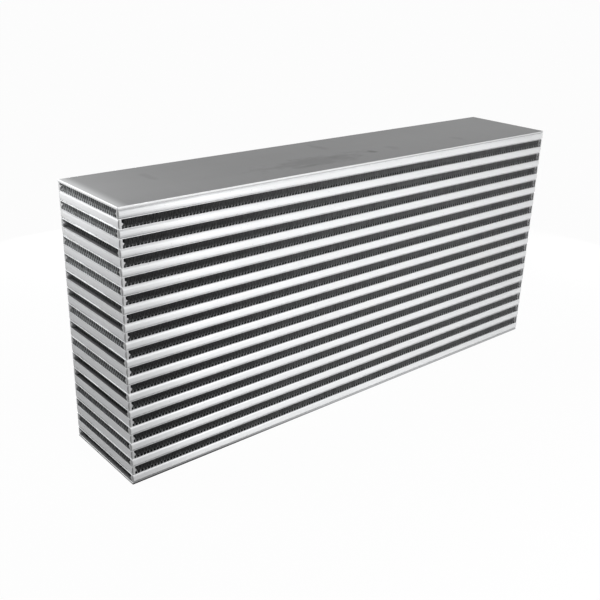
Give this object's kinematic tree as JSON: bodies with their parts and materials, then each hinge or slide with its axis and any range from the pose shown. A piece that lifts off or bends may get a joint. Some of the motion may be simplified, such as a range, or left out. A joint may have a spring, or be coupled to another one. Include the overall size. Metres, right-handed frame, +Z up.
{
  "type": "intercooler core",
  "caption": "Bar-and-plate intercooler core: stacked charge-air and cooling-air layers of folded fins between parting sheets, closed by bars and two outer plates.",
  "frame": {"origin": "centre of the footprint, on the underside of the bottom plate", "axes": "+X along the length, the way the charge air flows; +Y through the core from the front face to the back, the way the cooling air flows; +Z up through the stack of layers"},
  "size_m": [0.61, 0.114, 0.2792],
  "materials": {
    "plate": "satin mill finish with faint furnace marks",
    "bar": "bright extruded aluminium, lightly linished",
    "sheet": "brazing sheet edge",
    "charge_fin": "thin folded strip, dulled in the furnace",
    "ambient_fin": "thin folded strip, dark"
  },
  "bodies": {
    "root": {"top_plate": "plate", "bottom_plate": "plate", "front_charge_bars": "bar", "back_charge_bars": "bar", "left_ambient_bars": "bar", "right_ambient_bars": "bar", "parting_sheets_01": "sheet", "parting_sheets_02": "sheet", "parting_sheets_03": "sheet", "parting_sheets_04": "sheet", "parting_sheets_05": "sheet", "parting_sheets_06": "sheet", "parting_sheets_07": "sheet", "parting_sheets_08": "sheet", "parting_sheets_09": "sheet", "parting_sheets_10": "sheet", "parting_sheets_11": "sheet", "parting_sheets_12": "sheet", "parting_sheets_13": "sheet", "parting_sheets_14": "sheet", "parting_sheets_15": "sheet", "charge_fin_01": "charge_fin", "charge_fin_02": "charge_fin", "charge_fin_03": "charge_fin", "charge_fin_04": "charge_fin", "charge_fin_05": "charge_fin", "charge_fin_06": "charge_fin", "charge_fin_07": "charge_fin", "charge_fin_08": "charge_fin", "charge_fin_09": "charge_fin", "charge_fin_10": "charge_fin", "charge_fin_11": "charge_fin", "charge_fin_12": "charge_fin", "charge_fin_13": "charge_fin", "charge_fin_14": "charge_fin", "charge_fin_15": "charge_fin", "charge_fin_16": "charge_fin", "ambient_fin_01": "ambient_fin", "ambient_fin_02": "ambient_fin", "ambient_fin_03": "ambient_fin", "ambient_fin_04": "ambient_fin", "ambient_fin_05": "ambient_fin", "ambient_fin_06": "ambient_fin", "ambient_fin_07": "ambient_fin", "ambient_fin_08": "ambient_fin", "ambient_fin_09": "ambient_fin", "ambient_fin_10": "ambient_fin", "ambient_fin_11": "ambient_fin", "ambient_fin_12": "ambient_fin", "ambient_fin_13": "ambient_fin", "ambient_fin_14": "ambient_fin", "ambient_fin_15": "ambient_fin"}
  },
  "joints": []
}
